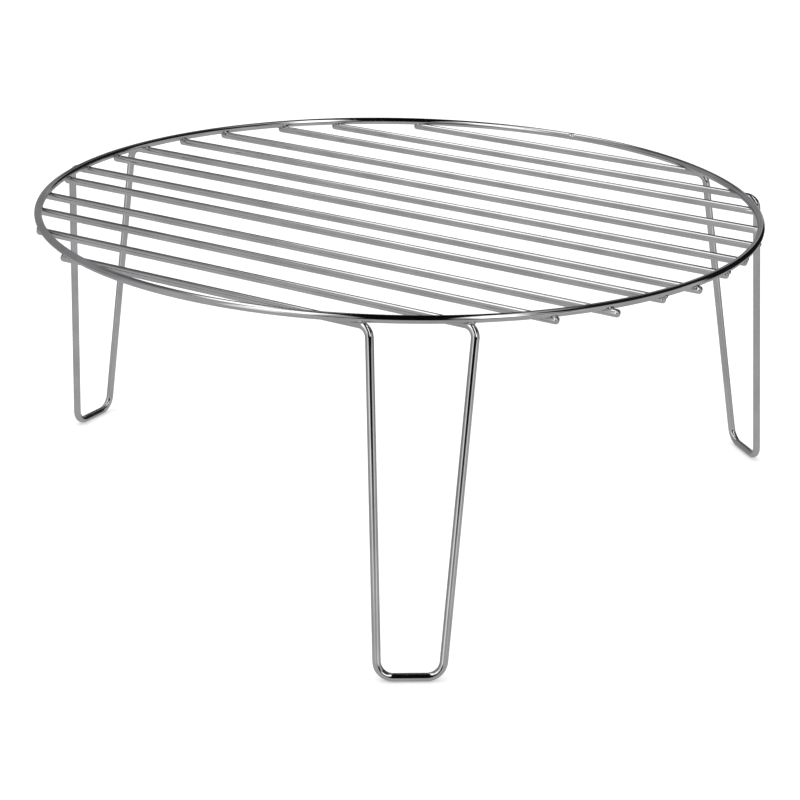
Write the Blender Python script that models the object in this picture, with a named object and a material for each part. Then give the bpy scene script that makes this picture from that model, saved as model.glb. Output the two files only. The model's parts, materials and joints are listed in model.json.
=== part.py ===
"""Round cooling rack of welded wire on three legs.

One ring lies on thirteen parallel bar rows. Seven rows are plain cross bars. The other six are
the two ends of three leg wires, each bent down into a U-shaped leg. The ring is pressed a little way
into each row at both of its ends, and a weld joins them there.

Metres, +Z up. The feet stand on z = 0 and the bars run along X. The rack's overall length and width
are centred on the Z axis. The left foot reaches out past the ring, so the ring's own centre lies a
little way along +X.
"""

import math

import bpy
from mathutils import Vector

# Driving dimensions
WIRE_DIAMETER = 0.003
RING_OUTER_DIAMETER = 0.290
RACK_HEIGHT = 0.128
# How far the ring is pressed into the bars, and the gap left round it there
SET_DOWN = 0.0007
NOTCH_GAP = 0.0003

# Distance of each bar row from the ring's centre, rear row first
ROW_OFFSETS = {
    1: 0.1260,
    2: 0.1030,
    3: 0.0835,
    4: 0.0585,
    5: 0.0375,
    6: 0.0160,
    7: -0.0030,
    8: -0.0255,
    9: -0.0430,
    10: -0.0665,
    11: -0.0855,
    12: -0.1070,
    13: -0.1280,
}
BAR_OVERHANG = 0.001
# Rows whose right end was left longer than the others, and by how much
LONGER_RIGHT_ENDS = {8: 0.0018, 10: 0.0034, 11: 0.0014}
END_CHAMFER = 0.0004

# Each leg: its two rows, the end of the rows it hangs from, how far from the ring's centre each row
# turns down, and where its foot stands
LEGS = {
    "leg_wire_left": {
        "rows": (6, 8),
        "end": -1,
        "top_radii": (0.1510, 0.1515),
        "foot_radius": 0.1600,
        "foot_shift": 0.0,
    },
    "leg_wire_right": {
        "rows": (2, 1),
        "end": 1,
        "top_radii": (0.1510, 0.1475),
        "foot_radius": 0.1660,
        "foot_shift": 0.0015,
    },
    "leg_wire_front": {
        "rows": (13, 12),
        "end": 1,
        "top_radii": (0.1450, 0.1450),
        "foot_radius": 0.1645,
        "foot_shift": -0.0030,
    },
}
FOOT_HALF_WIDTH = 0.0115
TOP_BEND_RADIUS = 0.0045
FOOT_BEND_RADIUS = 0.006

WELD_RADIUS = 0.0018
WELD_HEIGHT = 0.0015
WELD_CLEARANCE = 0.00005

# How finely the round shapes are divided
WIRE_SIDES = 8
RING_SEGMENTS = 96
BEND_SEGMENTS = 6
WELD_SIDES = 10

# Worked out from the driving dimensions
WIRE_RADIUS = WIRE_DIAMETER / 2
RING_RADIUS = RING_OUTER_DIAMETER / 2 - WIRE_RADIUS
RING_Z = RACK_HEIGHT - WIRE_RADIUS
BAR_Z = RING_Z - WIRE_DIAMETER + SET_DOWN
FOOT_Z = WIRE_RADIUS
# The wire's flat facets, not its corners, are one diameter apart.
CORNER_RADIUS = WIRE_RADIUS / math.cos(math.pi / WIRE_SIDES)
FACET_TILT = math.pi / WIRE_SIDES
# The left foot and the ring's right edge are then equally far from the origin.
RING_CENTRE_X = (LEGS["leg_wire_left"]["foot_radius"] - RING_RADIUS) / 2


def clear_scene():
    for obj in list(bpy.data.objects):
        bpy.data.objects.remove(obj, do_unlink=True)


def new_collection(name):
    collection = bpy.data.collections.new(name)
    bpy.context.scene.collection.children.link(collection)
    return collection


def metal(name, colour, roughness):
    material = bpy.data.materials.new(name)
    material.use_nodes = True
    shader = material.node_tree.nodes["Principled BSDF"]
    shader.inputs["Base Color"].default_value = (*colour, 1.0)
    shader.inputs["Roughness"].default_value = roughness
    shader.inputs["Metallic"].default_value = 1.0
    return material


def chord_half(radius, row):
    """Half the length that a circle of this radius, about the ring's centre, cuts from the row."""
    return math.sqrt(radius**2 - ROW_OFFSETS[row] ** 2)


def bar_end(row, end):
    """The cut end of a row, just past the ring."""
    x = end * chord_half(RING_RADIUS + BAR_OVERHANG, row)
    if end > 0:
        x += LONGER_RIGHT_ENDS.get(row, 0.0)
    return Vector((x, ROW_OFFSETS[row], BAR_Z))


def stem_tops(leg):
    """The two corners where a leg's rows turn down into its stems."""
    tops = []
    for row, radius in zip(leg["rows"], leg["top_radii"]):
        tops.append(Vector((leg["end"] * chord_half(radius, row), ROW_OFFSETS[row], BAR_Z)))
    return tops


def foot_corners(leg):
    """The two lower corners of a leg's U, in the same order as its rows."""
    tops = stem_tops(leg)
    middle = (tops[0] + tops[1]) / 2
    outward = Vector((middle.x, middle.y, 0)).normalized()
    sideways = Vector((-outward.y, outward.x, 0))
    centre = outward * leg["foot_radius"] + sideways * leg["foot_shift"] + Vector((0, 0, FOOT_Z))
    side = 1 if (tops[0] - tops[1]).dot(sideways) > 0 else -1
    return [centre + sideways * side * FOOT_HALF_WIDTH, centre - sideways * side * FOOT_HALF_WIDTH]


def bend(before, corner, after, radius):
    """Points along an arc of this radius that rounds one corner of a path."""
    to_before = (before - corner).normalized()
    to_after = (after - corner).normalized()
    half_angle = to_before.angle(to_after) / 2
    centre = corner + (to_before + to_after).normalized() * (radius / math.sin(half_angle))
    start = corner + to_before * (radius / math.tan(half_angle)) - centre
    finish = corner + to_after * (radius / math.tan(half_angle)) - centre
    sweep = start.angle(finish)
    points = []
    for step in range(BEND_SEGMENTS + 1):
        share = step / BEND_SEGMENTS
        first = math.sin((1 - share) * sweep) / math.sin(sweep)
        last = math.sin(share * sweep) / math.sin(sweep)
        points.append(centre + start * first + finish * last)
    return points


def leg_path(leg):
    """The centre line of a leg wire: in along one row, down, across the foot, up and out again."""
    row_in, row_out = leg["rows"]
    top_in, top_out = stem_tops(leg)
    foot_in, foot_out = foot_corners(leg)
    corners = [
        (top_in, TOP_BEND_RADIUS),
        (foot_in, FOOT_BEND_RADIUS),
        (foot_out, FOOT_BEND_RADIUS),
        (top_out, TOP_BEND_RADIUS),
    ]
    start = bar_end(row_in, -leg["end"])
    finish = bar_end(row_out, -leg["end"])
    stations = [start] + [point for point, _ in corners] + [finish]
    path = [start]
    for index, (corner, radius) in enumerate(corners, start=1):
        path += bend(stations[index - 1], corner, stations[index + 1], radius)
    return path + [finish]


def cut_ends(path):
    """Adds a point near both ends of an open path, and narrows the ends themselves to a chamfer."""
    first = path[0] + (path[1] - path[0]).normalized() * END_CHAMFER
    last = path[-1] + (path[-2] - path[-1]).normalized() * END_CHAMFER
    points = [path[0], first] + path[1:-1] + [last, path[-1]]
    end_scale = 1 - END_CHAMFER / WIRE_RADIUS
    scales = [end_scale] + [1.0] * (len(points) - 2) + [end_scale]
    return points, scales


def wire(name, path, closed, corner_radius, collection, material=None):
    """A wire along a path, as one closed mesh with a flat facet above and below on its level runs."""
    points, scales = (path, [1.0] * len(path)) if closed else cut_ends(path)
    curve = bpy.data.curves.new(name, "CURVE")
    curve.dimensions = "3D"
    curve.twist_mode = "Z_UP"
    curve.bevel_depth = corner_radius
    curve.bevel_resolution = (WIRE_SIDES - 4) // 2
    curve.use_fill_caps = not closed
    spline = curve.splines.new("POLY")
    spline.points.add(len(points) - 1)
    spline.use_cyclic_u = closed
    for target, place, scale in zip(spline.points, points, scales):
        target.co = (*place, 1.0)
        target.radius = scale
        target.tilt = FACET_TILT
    guide = bpy.data.objects.new(name + "_guide", curve)
    collection.objects.link(guide)
    bpy.context.view_layer.update()
    evaluated = guide.evaluated_get(bpy.context.evaluated_depsgraph_get())
    mesh = bpy.data.meshes.new_from_object(evaluated)
    bpy.data.objects.remove(guide, do_unlink=True)
    mesh.name = name
    mesh.materials.clear()
    mesh.shade_smooth()
    mesh.set_sharp_from_angle(angle=math.radians(50))
    obj = bpy.data.objects.new(name, mesh)
    collection.objects.link(obj)
    if material:
        mesh.materials.append(material)
    weld = obj.modifiers.new("weld_caps", "WELD")
    weld.merge_threshold = 0.00001
    return obj


def ring_path():
    points = []
    for step in range(RING_SEGMENTS):
        angle = 2 * math.pi * step / RING_SEGMENTS
        points.append(Vector((RING_RADIUS * math.cos(angle), RING_RADIUS * math.sin(angle), RING_Z)))
    return points


def wire_paths():
    """Name, centre line and closed or open, for every wire in the rack."""
    paths = {"ring": (ring_path(), True)}
    for name, leg in LEGS.items():
        paths[name] = (leg_path(leg), False)
    leg_rows = {row for leg in LEGS.values() for row in leg["rows"]}
    for row in ROW_OFFSETS:
        if row not in leg_rows:
            paths[f"cross_bar_row_{row:02d}"] = ([bar_end(row, -1), bar_end(row, 1)], False)
    return paths


def wire_of_row(row):
    """The name of the wire that a row is part of."""
    for name, leg in LEGS.items():
        if row in leg["rows"]:
            return name
    return f"cross_bar_row_{row:02d}"


def make_cutter(name, path, closed, clearance, collection):
    cutter = wire("cut_" + name, path, closed, CORNER_RADIUS + clearance, collection)
    cutter.hide_render = True
    cutter.display_type = "WIRE"
    return cutter


def cut(obj, cutter):
    boolean = obj.modifiers.new("clear_of_" + cutter.name, "BOOLEAN")
    boolean.operation = "DIFFERENCE"
    boolean.solver = "EXACT"
    boolean.object = cutter


def weld(row, end, cutters, collection, material):
    """The weld metal between the ring and the bar under it, which also fills the corners beside them."""
    side = "left" if end < 0 else "right"
    x = end * chord_half(RING_RADIUS, row)
    bpy.ops.mesh.primitive_cylinder_add(
        vertices=WELD_SIDES,
        radius=WELD_RADIUS,
        depth=WELD_HEIGHT,
        location=(x, ROW_OFFSETS[row], (RING_Z + BAR_Z) / 2),
    )
    obj = bpy.context.object
    obj.name = f"weld_row_{row:02d}_{side}"
    obj.data.name = obj.name
    obj.data.materials.append(material)
    for other in list(obj.users_collection):
        other.objects.unlink(obj)
    collection.objects.link(obj)
    cut(obj, cutters["ring"])
    cut(obj, cutters[wire_of_row(row)])


def slide_to_centre(objects):
    """Moves pieces made about the ring's centre so that the whole rack is centred on the Z axis."""
    for obj in objects:
        obj.location.x += RING_CENTRE_X


def build():
    clear_scene()
    rack = new_collection("cooling_rack")
    helpers = new_collection("cutters")
    helpers.hide_render = True
    paths = wire_paths()
    ring_notch = make_cutter("notch", *paths["ring"], NOTCH_GAP, helpers)
    ring_in_weld = make_cutter("weld_top", *paths["ring"], NOTCH_GAP - WELD_CLEARANCE, helpers)
    cutters = {}
    for name, (path, closed) in paths.items():
        chrome = metal(name + "_chrome", (0.62, 0.62, 0.63), 0.14)
        piece = wire(name, path, closed, CORNER_RADIUS, rack, chrome)
        cutters[name] = make_cutter(name, path, closed, WELD_CLEARANCE, helpers)
        if name != "ring":
            cut(piece, ring_notch)
            cut(cutters[name], ring_in_weld)
    for row in ROW_OFFSETS:
        for end in (-1, 1):
            plating = metal(f"weld_metal_{row:02d}_{'left' if end < 0 else 'right'}", (0.5, 0.5, 0.5), 0.3)
            weld(row, end, cutters, rack, plating)
    slide_to_centre(list(rack.objects) + list(helpers.objects))


build()
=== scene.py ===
"""Looks for the round cooling rack: smooth chrome wires, weld beads, a pale floor and studio light."""

import json
import math
import random

import bpy
from mathutils import Matrix, Vector, noise


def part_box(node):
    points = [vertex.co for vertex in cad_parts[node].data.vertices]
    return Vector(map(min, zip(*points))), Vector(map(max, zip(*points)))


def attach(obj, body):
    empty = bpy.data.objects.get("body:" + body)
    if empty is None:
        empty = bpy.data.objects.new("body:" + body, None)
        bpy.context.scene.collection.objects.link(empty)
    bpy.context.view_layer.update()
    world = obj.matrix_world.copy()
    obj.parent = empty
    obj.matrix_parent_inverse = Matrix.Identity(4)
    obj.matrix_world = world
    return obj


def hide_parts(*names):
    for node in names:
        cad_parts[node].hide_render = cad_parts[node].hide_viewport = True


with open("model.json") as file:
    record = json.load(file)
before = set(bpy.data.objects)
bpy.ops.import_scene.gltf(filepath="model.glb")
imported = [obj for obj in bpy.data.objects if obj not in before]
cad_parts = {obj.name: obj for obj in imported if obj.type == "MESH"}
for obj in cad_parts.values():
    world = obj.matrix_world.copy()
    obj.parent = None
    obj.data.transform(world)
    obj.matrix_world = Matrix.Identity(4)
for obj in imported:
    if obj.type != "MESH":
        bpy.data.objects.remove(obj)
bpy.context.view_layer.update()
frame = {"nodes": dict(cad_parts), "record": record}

# Wires
WIRE_SIDES = 28
RING_STEPS = 360
STRAIGHT_STEP = 0.004
BEND_STEPS = 14
FOOT_HALF_WIDTH = 0.0115
TOP_BEND_RADIUS = 0.0045
FOOT_BEND_RADIUS = 0.006
# Each leg: its two rows, the end of the rows it hangs from, and how far from the ring's centre each
# row turns down
LEGS = {
    "left": {"rows": (6, 8), "end": -1, "top_radii": (0.1510, 0.1515)},
    "right": {"rows": (2, 1), "end": 1, "top_radii": (0.1510, 0.1475)},
    "front": {"rows": (13, 12), "end": 1, "top_radii": (0.1450, 0.1450)},
}
# Rows whose right end was left longer than the others, and by how much
LONGER_RIGHT_ENDS = {8: 0.0018, 10: 0.0034, 11: 0.0014}
# How far from a cut end the rounding of its edge reaches, and the wire's width there
END_ROUNDING = ((0.0, 0.50), (0.00012, 0.70), (0.0003, 0.84), (0.0005, 0.93), (0.0008, 0.98), (0.0011, 1.0))
# Where the ring's wire was butt-welded shut, and the low ridge and notch it left
RING_JOINT_ANGLE = math.radians(89)
RING_JOINT_WIDTH = 0.0007
RING_JOINT_RIDGE = 0.07
RING_JOINT_STATIONS = (-2.2, -1.4, -0.9, -0.5, -0.25, 0.0, 0.25, 0.5, 0.9, 1.4, 2.2)

# Weld beads
BEAD_LENGTH = 0.0021
BEAD_WIDTH = 0.0017
BEAD_HEIGHT = 0.0010
BEAD_UNEVENNESS = 0.16

# Chrome: how often its marks repeat in a metre, how strong they are, and the middle range of a noise
DRAW_LINES = (60, 3500, 1)
PLATING_CLOUDS = (55, 55, 55)
SPECKS = (900, 900, 900)
SPECK_THRESHOLD = 0.72
SPECK_DULLNESS = 0.10
RELIEF_DEPTH = 0.00004
NOISE_RANGE = (0.3, 0.7)

# Camera
CAMERA_AZIMUTH = math.radians(31.69)
CAMERA_ELEVATION = math.radians(20.95)
CAMERA_ROLL = math.radians(1.23)
CAMERA_DISTANCE = 0.8437
CAMERA_LENS = 94.47
AIM_BELOW_RING = 0.0786

# Floor, backdrop and overhead light
FLOOR_RADIUS = 2.2
COVE_RADIUS = 0.6
BACKDROP_HEIGHT = 2.6
STAGE_SIDES = 96
FLOOR_SHADE = 0.84
FLOOR_GLOW = 0.27
LIGHT_HEIGHT = 2.4
LIGHT_SIZE = 3.0
LIGHT_POWER = 30.0

# Studio: panels around the rack, as seen in its reflections. Angles are in degrees from the camera's
# line of sight; a panel spans them along its long way and across it.
SURROUND = (0.52, 0.515, 0.52)
PANELS = [
    # name, facing azimuth, runs over the top, along from, to, across from, to, softness, colour
    ("shade_left", -30, False, -66, 54, -27, 64, 12, (0.32, 0.32, 0.33)),
    ("shade_under_strip", -38, False, -28, 26, 34, 58, 7, (0.13, 0.13, 0.135)),
    ("glow_low_left", -141, False, -17, 16, -14, 30, 5, (1.20, 1.20, 1.20)),
    ("glow_low_right", 138, False, -17, 14, -14, 2, 5, (1.05, 1.05, 1.05)),
    ("softbox_left", -139, False, -16, 13, 24, 70, 4, (2.1, 2.1, 2.1)),
    ("softbox_right", 150, False, -11, 8, -2, 60, 4, (2.2, 2.2, 2.2)),
    ("softbox_right_top", 127, False, -16, 13, 44, 74, 4, (2.6, 2.6, 2.6)),
    ("strip_left", -102, False, -52, 48, 56, 71, 4, (1.9, 1.9, 1.9)),
    ("strip_bend", -48, False, -13, 13, 56, 69, 3, (2.0, 2.0, 2.0)),
    ("strip_turn", -30, False, -11, 11, 50, 63, 3, (2.1, 2.1, 2.1)),
    ("strip_ahead", -15, False, -10, 10, 46, 56, 3, (2.1, 2.1, 2.1)),
    ("dark_over", 178, True, -5, 128, -15, 14, 3, (0.004, 0.004, 0.004)),
    ("dark_ahead", 2, False, -9, 11, 24, 55, 3, (0.02, 0.02, 0.02)),
    ("dark_ahead_low", 1, False, -18, 15, 23, 48, 2, (0.01, 0.01, 0.01)),
    ("dark_camera", 173, False, -35, 29, -8, 12, 5, (0.008, 0.008, 0.008)),
    ("dark_camera_wide", 172, False, -48, 44, -5, 12, 5, (0.008, 0.008, 0.008)),
    ("dark_right", 53, False, -32, 24, -17, 63, 4, (0.012, 0.012, 0.013)),
    ("dark_right_high", 103, False, -34, 28, 19, 62, 4, (0.015, 0.015, 0.015)),
]


def new_material(name):
    material = bpy.data.materials.new(name)
    material.use_nodes = True
    material.node_tree.nodes.clear()
    return material, material.node_tree


def add(tree, kind, **settings):
    node = tree.nodes.new(kind)
    for key, value in settings.items():
        setattr(node, key, value)
    return node


def link(tree, source, target):
    tree.links.new(source, target)


def maths(tree, operation, first, second=None, clamp=False):
    node = add(tree, "ShaderNodeMath", operation=operation, use_clamp=clamp)
    for socket, value in zip(node.inputs, (first, second)):
        if value is None:
            continue
        if isinstance(value, (int, float)):
            socket.default_value = value
        else:
            link(tree, value, socket)
    return node.outputs[0]


def stretched_noise(tree, coordinates, scale, detail):
    mapping = add(tree, "ShaderNodeMapping")
    mapping.inputs["Scale"].default_value = scale
    link(tree, coordinates, mapping.inputs["Vector"])
    texture = add(tree, "ShaderNodeTexNoise")
    texture.inputs["Scale"].default_value = 1.0
    texture.inputs["Detail"].default_value = detail
    link(tree, mapping.outputs["Vector"], texture.inputs["Vector"])
    return texture.outputs["Fac"]


def ramp(tree, factor, stops):
    node = add(tree, "ShaderNodeValToRGB")
    elements = node.color_ramp.elements
    while len(elements) < len(stops):
        elements.new(0.5)
    for element, (position, colour) in zip(elements, stops):
        element.position = position
        element.color = (*colour, 1.0)
    link(tree, factor, node.inputs["Fac"])
    return node.outputs["Color"]


def remap(tree, value, low, high):
    node = add(tree, "ShaderNodeMapRange")
    node.inputs["From Min"].default_value = NOISE_RANGE[0]
    node.inputs["From Max"].default_value = NOISE_RANGE[1]
    node.inputs["To Min"].default_value = low
    node.inputs["To Max"].default_value = high
    link(tree, value, node.inputs["Value"])
    return node.outputs["Result"]


def chrome(name, shade, rim, roughness, bump):
    """Plated wire: faint lines along its length, cloudy plating, and small dull specks."""
    material, tree = new_material(name)
    shader = add(tree, "ShaderNodeBsdfPrincipled")
    output = add(tree, "ShaderNodeOutputMaterial")
    link(tree, shader.outputs["BSDF"], output.inputs["Surface"])
    shader.inputs["Metallic"].default_value = 1.0
    shader.inputs["Specular Tint"].default_value = (rim, rim, rim, 1.0)
    along = add(tree, "ShaderNodeTexCoord").outputs["UV"]
    solid = add(tree, "ShaderNodeTexCoord").outputs["Object"]
    lines = stretched_noise(tree, along, DRAW_LINES, 3)
    clouds = stretched_noise(tree, solid, PLATING_CLOUDS, 4)
    specks = stretched_noise(tree, solid, SPECKS, 2)
    dark = tuple(channel * 0.90 for channel in shade)
    light = tuple(min(1.0, channel * 1.06) for channel in shade)
    link(tree, ramp(tree, clouds, ((0.35, dark), (0.62, light))), shader.inputs["Base Color"])
    streaked = remap(tree, lines, roughness * 0.7, roughness * 1.35)
    dulled = maths(tree, "MULTIPLY", maths(tree, "GREATER_THAN", specks, SPECK_THRESHOLD), SPECK_DULLNESS)
    link(tree, maths(tree, "ADD", streaked, dulled, clamp=True), shader.inputs["Roughness"])
    height = maths(tree, "ADD", maths(tree, "MULTIPLY", lines, 0.6), maths(tree, "MULTIPLY", clouds, 1.5))
    relief = add(tree, "ShaderNodeBump")
    relief.inputs["Strength"].default_value = bump
    relief.inputs["Distance"].default_value = RELIEF_DEPTH
    link(tree, height, relief.inputs["Height"])
    link(tree, relief.outputs["Normal"], shader.inputs["Normal"])
    return material


def ring_facts():
    """The ring's centre, its radius to the wire's middle, and the wire's radius."""
    low, high = (Vector(corner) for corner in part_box("ring"))
    wire_radius = (high.z - low.z) / 2
    return (low + high) / 2, (high.y - low.y) / 2 - wire_radius, wire_radius


RING_CENTRE, RING_RADIUS, WIRE_RADIUS = ring_facts()


def row_place(row):
    """The row's distance along Y from the ring's centre and the height of its middle line."""
    low, high = (Vector(corner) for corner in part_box(f"weld_row_{row:02d}_left"))
    bar_low, bar_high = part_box("cross_bar_row_07")
    return (low.y + high.y) / 2 - RING_CENTRE.y, (bar_low[2] + bar_high[2]) / 2


def bar_reach():
    """How far from the ring's centre most bars are cut."""
    high = Vector(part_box("cross_bar_row_07")[1])
    return math.hypot(high.x - RING_CENTRE.x, row_place(7)[0])


def bar_end(row, end):
    """The cut end of a row, just past the ring."""
    extra = LONGER_RIGHT_ENDS.get(row, 0.0) if end > 0 else 0.0
    return on_row(row, end, bar_reach()) + Vector((extra, 0, 0))


def on_row(row, end, radius):
    """The point on a row at this distance from the ring's centre."""
    across, height = row_place(row)
    x = RING_CENTRE.x + end * math.sqrt(radius**2 - across**2)
    return Vector((x, RING_CENTRE.y + across, height))


def stem_tops(name):
    """The two corners where a leg's rows turn down into its stems."""
    leg = LEGS[name]
    return [on_row(row, leg["end"], radius) for row, radius in zip(leg["rows"], leg["top_radii"])]


def foot_corners(name):
    """The two lower corners of a leg's U, in the same order as its rows."""
    tops = stem_tops(name)
    middle = (tops[0] + tops[1]) / 2 - RING_CENTRE
    sideways = Vector((-middle.y, middle.x, 0)).normalized()
    mount = next(m for m in frame["record"]["mounts"] if m["name"] == "foot_" + name)
    centre = Vector(mount["pos_m"]) + Vector((0, 0, WIRE_RADIUS))
    side = 1 if (tops[0] - tops[1]).dot(sideways) > 0 else -1
    return [centre + sideways * side * FOOT_HALF_WIDTH, centre - sideways * side * FOOT_HALF_WIDTH]


def bend(before, corner, after, radius):
    """Points along an arc of this radius that rounds one corner of a path."""
    to_before = (before - corner).normalized()
    to_after = (after - corner).normalized()
    half_angle = to_before.angle(to_after) / 2
    centre = corner + (to_before + to_after).normalized() * (radius / math.sin(half_angle))
    start = (corner + to_before * (radius / math.tan(half_angle)) - centre).normalized()
    finish = (corner + to_after * (radius / math.tan(half_angle)) - centre).normalized()
    return [
        centre + start.slerp(finish, step / BEND_STEPS) * radius for step in range(BEND_STEPS + 1)
    ]


def leg_path(name):
    leg = LEGS[name]
    row_in, row_out = leg["rows"]
    top_in, top_out = stem_tops(name)
    foot_in, foot_out = foot_corners(name)
    corners = [
        (top_in, TOP_BEND_RADIUS),
        (foot_in, FOOT_BEND_RADIUS),
        (foot_out, FOOT_BEND_RADIUS),
        (top_out, TOP_BEND_RADIUS),
    ]
    start = bar_end(row_in, -leg["end"])
    finish = bar_end(row_out, -leg["end"])
    stations = [start] + [point for point, _ in corners] + [finish]
    path = [start]
    for index, (corner, radius) in enumerate(corners, start=1):
        path += bend(stations[index - 1], corner, stations[index + 1], radius)
    return path + [finish]


def divided(path):
    """The same path with its long straight runs cut into short steps."""
    points = [path[0]]
    for before, after in zip(path, path[1:]):
        steps = max(1, round((after - before).length / STRAIGHT_STEP))
        points += [before.lerp(after, step / steps) for step in range(1, steps + 1)]
    return points


def with_rounded_ends(path):
    """Points and widths of an open path whose two cut edges are slightly rounded."""
    points = divided(path)
    reach = END_ROUNDING[-1][0] + 0.0005
    inner = [p for p in points if min((p - points[0]).length, (p - points[-1]).length) > reach]
    first = (points[1] - points[0]).normalized()
    last = (points[-2] - points[-1]).normalized()
    heads = [points[0] + first * distance for distance, _ in END_ROUNDING]
    tails = [points[-1] + last * distance for distance, _ in reversed(END_ROUNDING)]
    widths = [width for _, width in END_ROUNDING]
    return heads + inner + tails, widths + [1.0] * len(inner) + widths[::-1]


def wire_rings(points, widths, closed):
    """The wire's vertices, one ring of them at each point, and how far along the wire each ring lies."""
    count = len(points)
    vertices = []
    lengths = []
    travelled = 0.0
    up = Vector((0, 0, 1)) if closed else (points[1] - points[0]).orthogonal().normalized()
    for index, point in enumerate(points):
        before = points[index - 1] if (closed or index) else point
        after = points[(index + 1) % count] if (closed or index < count - 1) else point
        tangent = (after - before).normalized()
        up = (up - tangent * up.dot(tangent)).normalized()
        side = tangent.cross(up)
        for step in range(WIRE_SIDES):
            angle = 2 * math.pi * step / WIRE_SIDES
            offset = side * math.cos(angle) + up * math.sin(angle)
            vertices.append(point + offset * WIRE_RADIUS * widths[index])
        travelled += (point - points[index - 1]).length if index else 0.0
        lengths.append(travelled)
    if closed:
        lengths.append(travelled + (points[0] - points[-1]).length)
    return vertices, lengths


def wire_skin(count, lengths, closed):
    """The faces between neighbouring rings, and each face's place on a map in metres."""
    faces = []
    spots = []
    around = 2 * math.pi * WIRE_RADIUS
    for index in range(count if closed else count - 1):
        near, far = index * WIRE_SIDES, ((index + 1) % count) * WIRE_SIDES
        near_u, far_u = lengths[index], lengths[index + 1]
        for step in range(WIRE_SIDES):
            following = (step + 1) % WIRE_SIDES
            low, high = around * step / WIRE_SIDES, around * (step + 1) / WIRE_SIDES
            faces.append((near + step, near + following, far + following, far + step))
            spots.append(((near_u, low), (near_u, high), (far_u, high), (far_u, low)))
    return faces, spots


def wire_cap(middle, first, order, length, reach):
    """The faces that close one cut end, around a middle vertex, and their places on the map."""
    faces = []
    spots = []
    for step in range(WIRE_SIDES):
        pair = (step, (step + 1) % WIRE_SIDES)[::order]
        faces.append((middle, first + pair[0], first + pair[1]))
        angles = [2 * math.pi * corner / WIRE_SIDES for corner in pair]
        rim = [(length + reach * math.cos(angle), reach * math.sin(angle)) for angle in angles]
        spots.append(((length, 0.0), *rim))
    return faces, spots


def tube(name, points, widths, closed):
    """A round wire along a path, with a UV map that runs along and around it in metres."""
    count = len(points)
    vertices, lengths = wire_rings(points, widths, closed)
    faces, spots = wire_skin(count, lengths, closed)
    if not closed:
        for index, order in ((0, -1), (count - 1, 1)):
            reach = WIRE_RADIUS * widths[index]
            cap = wire_cap(len(vertices), index * WIRE_SIDES, order, lengths[index], reach)
            vertices.append(points[index])
            faces += cap[0]
            spots += cap[1]
    mesh = bpy.data.meshes.new(name)
    mesh.from_pydata(vertices, [], faces)
    layer = mesh.uv_layers.new(name="along_wire")
    for entry, spot in zip(layer.data, (spot for face in spots for spot in face)):
        entry.uv = spot
    mesh.shade_smooth()
    mesh.set_sharp_from_angle(angle=math.radians(50))
    obj = bpy.data.objects.new(name, mesh)
    bpy.context.scene.collection.objects.link(obj)
    return obj


def place(obj, material, slot, *nodes):
    """Gives a finished piece its material and puts it in the frame in place of these CAD nodes."""
    obj.data.materials.append(material)
    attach(obj, "root")
    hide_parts(*nodes)


def joint_swell(offset):
    """How much wider the wire is near its butt joint: a ridge on each side and a notch between them."""
    ridges = math.exp(-((abs(offset) - 0.7) ** 2) * 6)
    notch = math.exp(-(offset**2) * 14)
    return RING_JOINT_RIDGE * (ridges - 1.6 * notch)


def build_ring(material):
    points = []
    widths = []
    for step in range(RING_STEPS):
        angle = 2 * math.pi * step / RING_STEPS
        points.append(RING_CENTRE + Vector((math.cos(angle), math.sin(angle), 0)) * RING_RADIUS)
        widths.append(1.0)
    for offset in RING_JOINT_STATIONS:
        angle = RING_JOINT_ANGLE + offset * RING_JOINT_WIDTH / RING_RADIUS
        points.append(RING_CENTRE + Vector((math.cos(angle), math.sin(angle), 0)) * RING_RADIUS)
        widths.append(1.0 + joint_swell(offset))
    turn = [math.atan2(p.y - RING_CENTRE.y, p.x - RING_CENTRE.x) for p in points]
    order = sorted(range(len(points)), key=lambda index: turn[index])
    kept = [order[0]]
    for index in order[1:]:
        if (points[index] - points[kept[-1]]).length > 0.00005:
            kept.append(index)
    place(
        tube("ring_wire", [points[i] for i in kept], [widths[i] for i in kept], True),
        material,
        "wire_chrome",
        "ring",
    )


def build_wires(material):
    leg_rows = {row for leg in LEGS.values() for row in leg["rows"]}
    for name in LEGS:
        points, widths = with_rounded_ends(leg_path(name))
        piece = tube(f"leg_{name}_wire", points, widths, False)
        place(piece, material, "wire_chrome", f"leg_wire_{name}")
    for row in range(1, 14):
        if row in leg_rows:
            continue
        points, widths = with_rounded_ends([bar_end(row, -1), bar_end(row, 1)])
        piece = tube(f"bar_{row:02d}_wire", points, widths, False)
        place(piece, material, "wire_chrome", f"cross_bar_row_{row:02d}")


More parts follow.
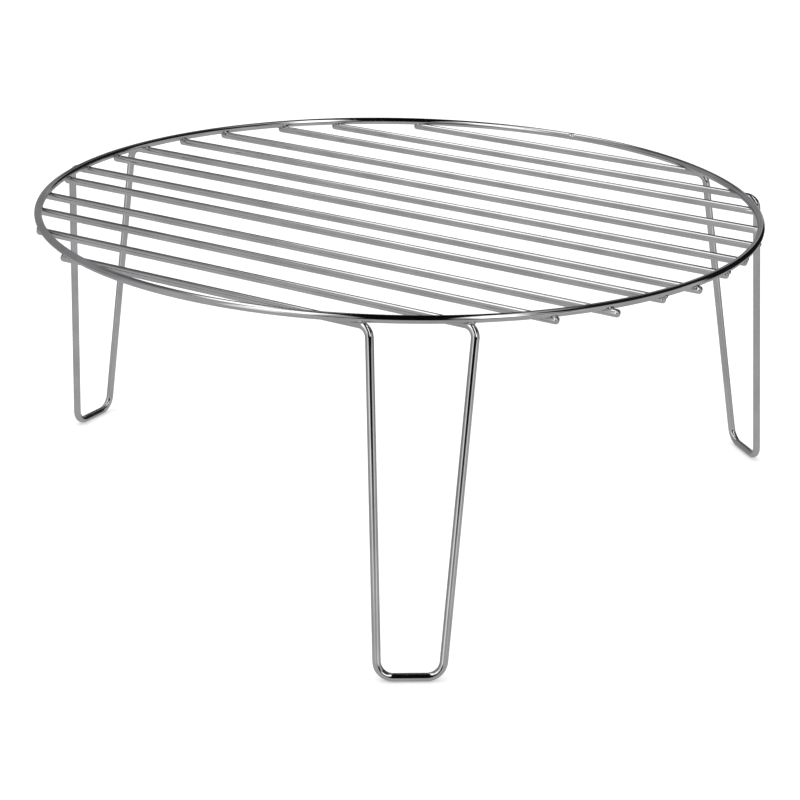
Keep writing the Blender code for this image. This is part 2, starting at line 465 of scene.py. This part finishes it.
def build_bead(node, material, seed):
    """The lump of weld metal squeezed out between the ring and one bar."""
    low, high = (Vector(corner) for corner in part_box(node))
    centre = (low + high) / 2
    tangent = math.atan2(centre.y - RING_CENTRE.y, centre.x - RING_CENTRE.x) + math.pi / 2
    between = math.atan2(math.sin(tangent), math.cos(tangent) + (1 if math.cos(tangent) > 0 else -1))
    chance = random.Random(seed)
    shift = Vector((chance.uniform(-50, 50), chance.uniform(-50, 50), chance.uniform(-50, 50)))
    name = node.replace("weld", "weld_bead")
    bpy.ops.mesh.primitive_ico_sphere_add(subdivisions=4, radius=1.0, location=(0, 0, 0))
    obj = bpy.context.object
    obj.name = name
    obj.data.name = name
    turn = Matrix.Rotation(between, 4, "Z")
    for vertex in obj.data.vertices:
        direction = vertex.co.normalized()
        lump = 1 + BEAD_UNEVENNESS * noise.noise(direction * 1.7 + shift)
        lump += 0.4 * BEAD_UNEVENNESS * noise.noise(direction * 4.5 + shift)
        size = Vector((BEAD_LENGTH, BEAD_WIDTH, BEAD_HEIGHT))
        waist = 0.86 + 0.14 * abs(direction.z)
        local = Vector((direction.x * size.x * waist, direction.y * size.y * waist, direction.z * size.z))
        vertex.co = turn @ (local * lump) + centre
    obj.data.shade_smooth()
    place(obj, material, "weld_metal", node)


def pale(name, shade, strength):
    """The plain studio floor and backdrop: a faint glow and a barely visible mottle."""
    material, tree = new_material(name)
    shader = add(tree, "ShaderNodeBsdfPrincipled")
    output = add(tree, "ShaderNodeOutputMaterial")
    link(tree, shader.outputs["BSDF"], output.inputs["Surface"])
    shader.inputs["Roughness"].default_value = 0.9
    shader.inputs["Specular IOR Level"].default_value = 0.0
    solid = add(tree, "ShaderNodeTexCoord").outputs["Object"]
    mottle = stretched_noise(tree, solid, (3, 3, 3), 3)
    darker = (shade * 0.985,) * 3
    link(tree, ramp(tree, mottle, ((0.3, darker), (0.7, (shade,) * 3))), shader.inputs["Base Color"])
    shader.inputs["Emission Color"].default_value = (1.0, 1.0, 1.0, 1.0)
    shader.inputs["Emission Strength"].default_value = strength
    return material


def stage_profile():
    """Radius and height of the floor, the cove that turns it upward, and the backdrop."""
    cove = [
        (FLOOR_RADIUS + COVE_RADIUS * math.sin(turn), COVE_RADIUS - COVE_RADIUS * math.cos(turn))
        for turn in (0.3, 0.6, 0.9, 1.2, 1.5)
    ]
    wall = FLOOR_RADIUS + COVE_RADIUS
    return [(1.0, 0.0), (FLOOR_RADIUS, 0.0)] + cove + [(wall, 2 * COVE_RADIUS), (wall, BACKDROP_HEIGHT)]


def build_stage():
    """A round floor that curves up into a backdrop. The wires reflect the studio panels instead."""
    profile = stage_profile()
    vertices = [Vector((0, 0, 0))]
    for radius, height in profile:
        for step in range(STAGE_SIDES):
            angle = 2 * math.pi * step / STAGE_SIDES
            vertices.append(Vector((radius * math.cos(angle), radius * math.sin(angle), height)))
    faces = [(0, 1 + step, 1 + (step + 1) % STAGE_SIDES) for step in range(STAGE_SIDES)]
    for band in range(len(profile) - 1):
        near, far = 1 + band * STAGE_SIDES, 1 + (band + 1) * STAGE_SIDES
        for step in range(STAGE_SIDES):
            following = (step + 1) % STAGE_SIDES
            faces.append((near + step, far + step, far + following, near + following))
    mesh = bpy.data.meshes.new("studio_floor")
    mesh.from_pydata(vertices, [], faces)
    mesh.shade_smooth()
    floor = bpy.data.objects.new("studio_floor", mesh)
    bpy.context.scene.collection.objects.link(floor)
    floor.data.materials.append(pale("studio_white", FLOOR_SHADE, FLOOR_GLOW))
    floor.visible_glossy = False


def direction(azimuth, elevation=0.0):
    """A world direction from degrees right of the camera's line of sight and above the horizon."""
    turn = math.radians(azimuth) - CAMERA_AZIMUTH
    rise = math.radians(elevation)
    flat = Vector((math.sin(turn), math.cos(turn), 0)) * math.cos(rise)
    return flat + Vector((0, 0, math.sin(rise)))


def band_mask(tree, angle, low, high, softness):
    """1 where the angle is between low and high, fading to 0 outside."""
    rising = maths(tree, "DIVIDE", maths(tree, "SUBTRACT", angle, low), softness, clamp=True)
    falling = maths(tree, "DIVIDE", maths(tree, "SUBTRACT", high, angle), softness, clamp=True)
    return maths(tree, "MULTIPLY", rising, falling)


def dot(tree, vector, axis):
    node = add(tree, "ShaderNodeVectorMath", operation="DOT_PRODUCT")
    link(tree, vector, node.inputs[0])
    node.inputs[1].default_value = axis
    return node.outputs["Value"]


def build_world():
    """Soft grey surroundings with a few light and dark panels, which the chrome mirrors."""
    world = bpy.data.worlds.new("studio")
    bpy.context.scene.world = world
    world.use_nodes = True
    tree = world.node_tree
    tree.nodes.clear()
    looking = add(tree, "ShaderNodeTexCoord").outputs["Generated"]
    colour = add(tree, "ShaderNodeRGB").outputs[0]
    colour.default_value = (*SURROUND, 1.0)
    up = Vector((0, 0, 1))
    for _, azimuth, over, start, finish, low, high, softness, shade in PANELS:
        centre = direction(azimuth)
        sideways = direction(azimuth + 90)
        along, across = (up, sideways) if over else (sideways, up)
        run = maths(tree, "ARCTAN2", dot(tree, looking, along), dot(tree, looking, centre))
        rise = maths(tree, "ARCSINE", dot(tree, looking, across))
        soft = math.radians(softness)
        first = band_mask(tree, run, math.radians(start), math.radians(finish), soft)
        second = band_mask(tree, rise, math.radians(low), math.radians(high), soft)
        mix = add(tree, "ShaderNodeMix", data_type="RGBA")
        link(tree, maths(tree, "MULTIPLY", first, second), mix.inputs["Factor"])
        link(tree, colour, mix.inputs[6])
        mix.inputs[7].default_value = (*shade, 1.0)
        colour = mix.outputs[2]
    background = add(tree, "ShaderNodeBackground")
    output = add(tree, "ShaderNodeOutputWorld")
    link(tree, colour, background.inputs["Color"])
    link(tree, background.outputs["Background"], output.inputs["Surface"])


def build_light():
    """A wide soft light overhead. It lights the floor, and the wires mirror the panels instead."""
    data = bpy.data.lights.new("overhead_softbox", "AREA")
    data.shape = "SQUARE"
    data.size = LIGHT_SIZE
    data.energy = LIGHT_POWER
    light = bpy.data.objects.new("overhead_softbox", data)
    light.location = (0, 0, LIGHT_HEIGHT)
    light.visible_glossy = False
    light.visible_camera = False
    bpy.context.scene.collection.objects.link(light)


def build_camera():
    ahead = direction(0, -math.degrees(CAMERA_ELEVATION))
    level = direction(90)
    above = level.cross(ahead)
    right = level * math.cos(CAMERA_ROLL) + above * math.sin(CAMERA_ROLL)
    upward = right.cross(ahead)
    aim = RING_CENTRE - upward * AIM_BELOW_RING
    data = bpy.data.cameras.new("camera")
    data.lens = CAMERA_LENS
    data.sensor_width = 36.0
    data.clip_start = 0.01
    camera = bpy.data.objects.new("camera", data)
    turn = Matrix((right, upward, -ahead)).transposed().to_4x4()
    camera.matrix_world = Matrix.Translation(aim - ahead * CAMERA_DISTANCE) @ turn
    bpy.context.scene.collection.objects.link(camera)
    bpy.context.scene.camera = camera


def build():
    wire_chrome = chrome("wire_chrome", (0.60, 0.60, 0.605), 0.80, 0.06, 0.12)
    weld_chrome = chrome("weld_chrome", (0.50, 0.50, 0.50), 0.50, 0.12, 0.8)
    build_ring(wire_chrome)
    build_wires(wire_chrome)
    for seed, node in enumerate(sorted(name for name in frame["nodes"] if name.startswith("weld_"))):
        build_bead(node, weld_chrome, seed)
    build_stage()
    build_world()
    build_light()
    build_camera()
    bpy.context.scene.view_settings.view_transform = "Standard"


build()
